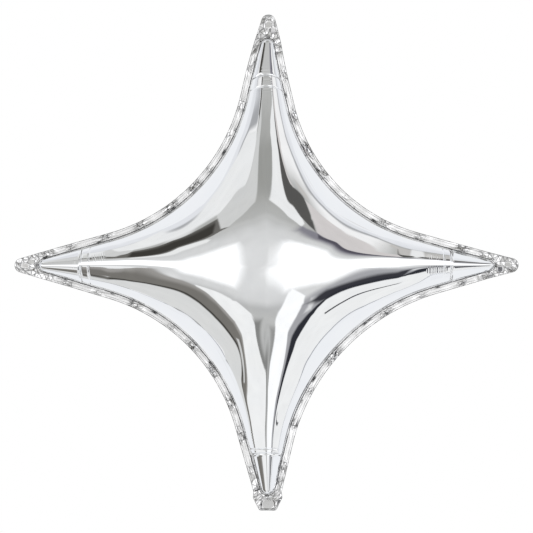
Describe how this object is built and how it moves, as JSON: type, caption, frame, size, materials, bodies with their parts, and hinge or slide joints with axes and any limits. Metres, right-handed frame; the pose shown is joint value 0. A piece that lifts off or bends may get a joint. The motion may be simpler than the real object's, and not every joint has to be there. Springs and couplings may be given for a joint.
{
  "type": "star foil balloon",
  "caption": "Filled star-shaped balloon of mirror-silver metallised film, with a heat-sealed border, flat sealed tips and a blunt filling tail. Floats or hangs as decoration.",
  "frame": {"origin": "centre of the star, in the plane of the weld between the panels, on the mount air", "axes": "+Z to the top tip, +X to the right tip seen from the front, -Y out of the front panel"},
  "size_m": [0.63, 0.206, 0.62],
  "materials": {
    "front_film": "vacuum-metallised film, mirror bright",
    "back_film": "vacuum-metallised film, mirror bright",
    "border_film": "heat-sealed metallised film, bright and crumpled",
    "valve_film": "clear film"
  },
  "bodies": {
    "root": {"front_panel": "front_film", "back_panel": "back_film", "seal_upper_right": "border_film", "seal_upper_left": "border_film", "seal_lower_left": "border_film", "seal_lower_right": "border_film", "tip_tab_right": "border_film", "tip_tab_top": "border_film", "tip_tab_left": "border_film", "tail_front_ply": "border_film", "tail_back_ply": "border_film", "valve_front_film": "valve_film", "valve_back_film": "valve_film"}
  },
  "joints": []
}
